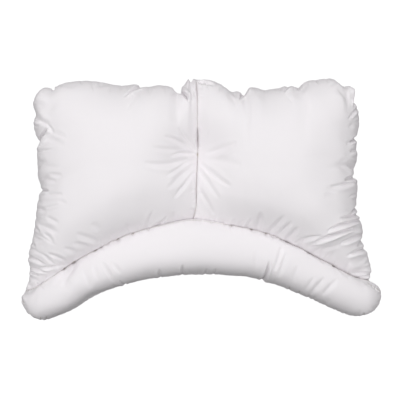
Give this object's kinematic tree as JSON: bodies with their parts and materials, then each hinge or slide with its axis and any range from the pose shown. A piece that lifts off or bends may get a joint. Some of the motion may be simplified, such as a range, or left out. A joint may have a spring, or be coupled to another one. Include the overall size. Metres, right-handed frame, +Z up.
{
  "type": "cervical pillow",
  "caption": "Filled cotton pillow with side wings that meet at a tufted centre seam and a crescent neck roll along the arched lower edge.",
  "frame": {"origin": "on the surface that the pillow lies on, under the middle of its plan", "axes": "+X along the width to the right wing, +Y towards the straight top edge, +Z up out of the face that the head rests on"},
  "size_m": [0.6059, 0.4083, 0.118],
  "materials": {
    "wing_cotton": "fine white cotton cambric with a soft sheen, gathered at its seams",
    "roll_cotton": "fine white cotton cambric with a soft sheen, stretched tight over the roll"
  },
  "bodies": {
    "root": {"wing_left": "wing_cotton", "wing_right": "wing_cotton", "neck_roll": "roll_cotton"}
  },
  "joints": []
}
